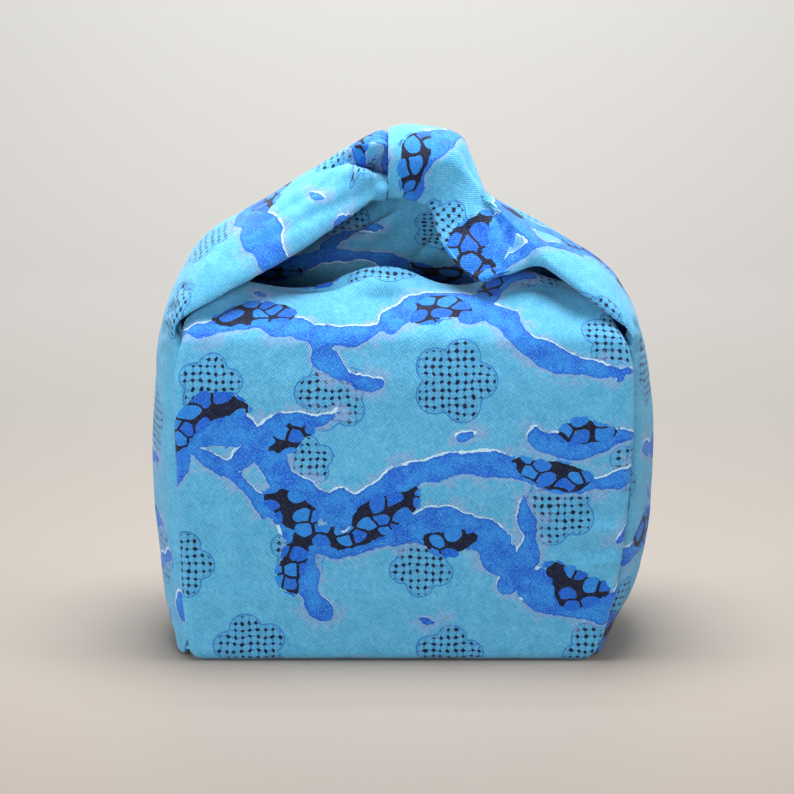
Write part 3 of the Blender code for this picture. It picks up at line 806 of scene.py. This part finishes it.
RIGHT_FOLDS = [
    ("valley behind the lapel", 34, -21, 201, 51, -40, 173, -3.2, 2.2),
    ("edge of the lapel", 30, -25, 197, 47, -39, 169, 1.2, 2.8),
    ("crease over the lapel", 17, -23, 191, 35, -32, 183, -1.8, 1.8),
    ("crease above it", 20, -22, 197, 40, -29, 191, -1.1, 1.7),
    ("bulge of the lapel", 24, -30, 184, 33, -40, 166, 1.4, 5),
    ("roll under the loop", -8, -19, 199, 20, -21, 196, -2.0, 2.4),
    ("band of the loop", -4, -20, 211, 26, -17, 214, 0.9, 5),
    ("rounded corner of the loop", -6.5, -17, 221, -6.3, 14, 227, -1.8, 3.6),
    ("pull at the loop's edge", 24, -15, 220, 33, -20, 203, -1.0, 2.2),
    ("long furrow of the strap", 56, -29, 184, 93, -46, 152, -1.4, 2.8),
    ("ridge under it", 62, -38, 172, 95, -49, 147, 1.2, 3.2),
    ("pucker at the shoulder", 103, -36, 143, 95, -49, 145, -1.4, 2.2),
    ("second pucker", 105, -34, 134, 96, -50, 136, -1.2, 2.2),
    ("upright fold of the gusset", 112, -16, 118, 109, -20, 36, 1.4, 8),
    ("furrow behind it", 112, 10, 112, 109, 8, 46, -1.4, 9),
]
LEFT_PLACE, RIGHT_PLACE = (64, 36, 1, 1), (-34, 92, -1, 1)  # on the print
SIDE_RUMPLES = [(30, 0.6), (10, 0.25)]  # length and height
LEFT_FLAT, LEFT_AREA = (0.150, 0.300), 0.0355
RIGHT_FLAT, RIGHT_AREA = (0.141, 0.289), 0.0333
SIDES = [
    # name, node, side, strap, folds, place on the print, flat size, flat area
    ("left_cotton", "left_side", -1, LEFT_STRAP, LEFT_FOLDS, LEFT_PLACE, LEFT_FLAT, LEFT_AREA),
    ("right_cotton", "right_side", 1, RIGHT_STRAP, RIGHT_FOLDS, RIGHT_PLACE, RIGHT_FLAT, RIGHT_AREA),
]
for name, node, side, strap, folds, place, flat_size, flat_area in SIDES:
    grid = side_grid(side, strap, strip)
    grid = rumpled(folded(grid, -side, folds), -side, SIDE_RUMPLES)
    u, v = flat_places(grid, grid.shape[1] // 2)
    piece = cloth_piece(name, grid, -side, u, v, place)
    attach(piece, "root")
    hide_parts(node)


# The studio: a pale floor that the bag stands on and that sweeps up behind it, soft lights overhead, at
# both sides and low in front, and a large pale blue one on the sweep. The camera stands where the
# photograph was taken from.
FLOOR_PAINT, FLOOR_ROUGHNESS = dye(154, 144, 134), 0.6
LIGHTS = [
    # name, x, y, z, size, power in watts, spread in degrees, colour
    ("overhead", 0.0, -0.02, 0.72, 0.42, 7.6, 180, (1, 1, 1)),
    ("left", -1.2, -0.1, 0.6, 0.6, 5.5, 180, (1, 1, 1)),
    ("right", 1.2, -0.1, 0.6, 0.6, 7, 180, (1, 1, 1)),
    ("front", -0.45, -1.55, 0.15, 0.7, 5.2, 90, (1, 1, 1)),
    ("behind", 0.0, 1.0, 2.2, 1.6, 165, 180, (0.78, 0.89, 1)),
]
SKY, SKY_STRENGTH = dye(228, 230, 234), 0.15
TARGET = Vector((-0.0025, 0, 0.1067))
BACKDROP_AIM = Vector((0, 3.0, 1.0))
CAMERA_ELEVATION, CAMERA_DISTANCE, CAMERA_LENS = 9, 1.0, 100.3

FLOOR_HALF, FLOOR_FRONT, SWEEP_START, SWEEP_RADIUS, SWEEP_TOP = 5.0, -3.0, 1.6, 1.2, 4.0
SWEEP_STEPS = 12
profile = [(FLOOR_FRONT, 0.0)]
for step in range(SWEEP_STEPS + 1):
    angle = math.radians(90 / SWEEP_STEPS * step)
    profile.append((SWEEP_START + SWEEP_RADIUS * math.sin(angle), SWEEP_RADIUS * (1 - math.cos(angle))))
profile.append((SWEEP_START + SWEEP_RADIUS, SWEEP_TOP))
ends = [(side * FLOOR_HALF, y, z) for y, z in profile for side in (-1, 1)]
floor_mesh = bpy.data.meshes.new("floor")
floor_mesh.from_pydata(ends, [], [(k, k + 1, k + 3, k + 2) for k in range(0, len(ends) - 2, 2)])
floor_mesh.shade_smooth()
floor = bpy.data.objects.new("floor", floor_mesh)
bpy.context.scene.collection.objects.link(floor)
paint = bpy.data.materials.new("floor paint")
paint.use_nodes = True
paint.node_tree.nodes["Principled BSDF"].inputs["Base Color"].default_value = FLOOR_PAINT
paint.node_tree.nodes["Principled BSDF"].inputs["Roughness"].default_value = FLOOR_ROUGHNESS
floor_mesh.materials.append(paint)

for name, x, y, z, size, power, spread, colour in LIGHTS:
    lamp = bpy.data.lights.new(name, "AREA")
    lamp.shape, lamp.size, lamp.energy, lamp.color = "DISK", size, power, colour
    lamp.spread = math.radians(spread)
    holder = bpy.data.objects.new(name, lamp)
    holder.location = (x, y, z)
    aim = BACKDROP_AIM if name == "behind" else TARGET
    holder.rotation_euler = (aim - holder.location).to_track_quat("-Z", "Y").to_euler()
    bpy.context.scene.collection.objects.link(holder)

sky = bpy.data.worlds.new("studio")
sky.use_nodes = True
sky.node_tree.nodes["Background"].inputs["Color"].default_value = SKY
sky.node_tree.nodes["Background"].inputs["Strength"].default_value = SKY_STRENGTH
bpy.context.scene.world = sky

lens = bpy.data.cameras.new("camera")
lens.lens = CAMERA_LENS
camera = bpy.data.objects.new("camera", lens)
tilt = math.radians(CAMERA_ELEVATION)
camera.location = TARGET + Vector((0, -math.cos(tilt), math.sin(tilt))) * CAMERA_DISTANCE
camera.rotation_euler = (math.radians(90 - CAMERA_ELEVATION), 0, 0)
bpy.context.scene.collection.objects.link(camera)
bpy.context.scene.camera = camera
bpy.context.scene.view_settings.view_transform = "Standard"
